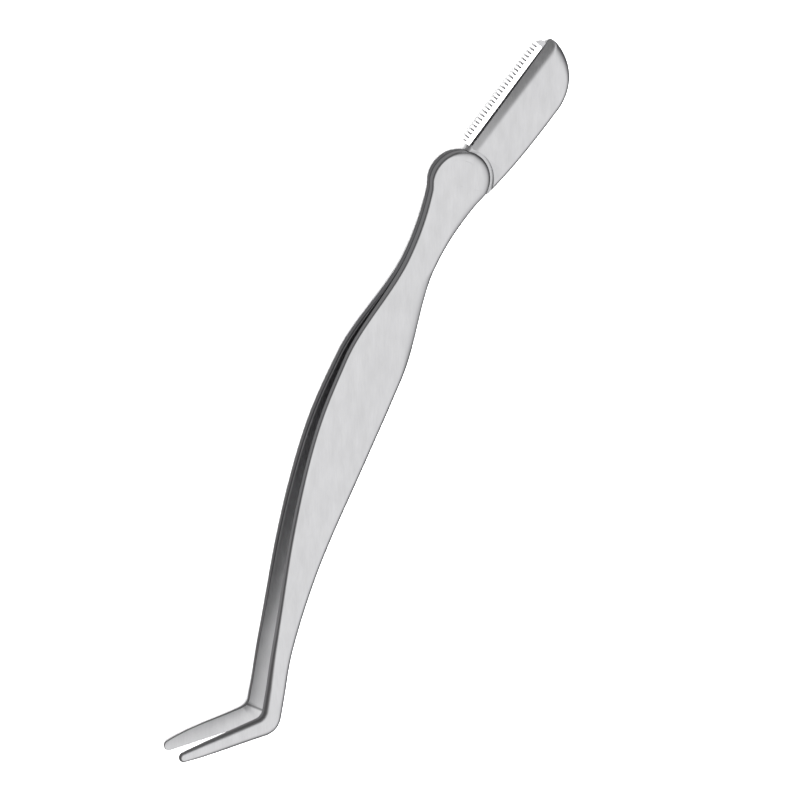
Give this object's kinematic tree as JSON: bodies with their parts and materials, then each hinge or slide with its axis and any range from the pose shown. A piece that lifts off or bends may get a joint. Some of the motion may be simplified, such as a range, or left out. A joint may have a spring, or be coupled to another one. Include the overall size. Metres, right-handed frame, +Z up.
{
  "type": "curved tweezers with brow razor",
  "caption": "Steel tweezers with bent, tapered jaws on mirrored sprung arms, joined at a round lobe that also carries a small guarded brow razor.",
  "frame": {"origin": "under the middle of the tool, on the surface that it lies on", "axes": "+X from the jaws to the razor's tip, +Y to the side that the jaws and the blade's edge face, +Z up, from the rear arm to the front arm"},
  "size_m": [0.1262, 0.021, 0.0082],
  "materials": {
    "arm_steel": "satin steel, brushed along the arm, with smoother rounded rims",
    "cheek_steel": "satin steel, brushed along the blade, with a ground bevel",
    "blade_steel": "polished blade steel with a honed edge",
    "guard_steel": "bright thin sheet, folded and notched",
    "pin_steel": "plain steel, hidden inside"
  },
  "bodies": {
    "head": {"front_arm_anchor": "arm_steel", "rear_arm_anchor": "arm_steel", "razor_front_cheek": "cheek_steel", "razor_rear_cheek": "cheek_steel", "razor_blade": "blade_steel", "blade_guard": "guard_steel", "blade_pin_near_lobe": "pin_steel", "blade_pin_near_tip": "pin_steel", "tang_rivet": "pin_steel"},
    "front_arm": {"front_arm": "arm_steel"},
    "rear_arm": {"rear_arm": "arm_steel"}
  },
  "joints": [
    {"name": "front_arm_flex", "type": "hinge", "parent": "head", "child": "front_arm", "pos_m": [0.02102, 0.0023, 0.0029], "axis": [0, -1, 0], "range_deg": [0, 2], "stiffness_Nm_per_rad": 2},
    {"name": "rear_arm_flex", "type": "hinge", "parent": "head", "child": "rear_arm", "pos_m": [0.02099, 0.0023, 0.00154], "axis": [0, 1, 0], "range_deg": [0, 2], "stiffness_Nm_per_rad": 2}
  ],
  "couplings": [
    {"joint": "rear_arm_flex", "follows": "front_arm_flex", "ratio": 1}
  ]
}
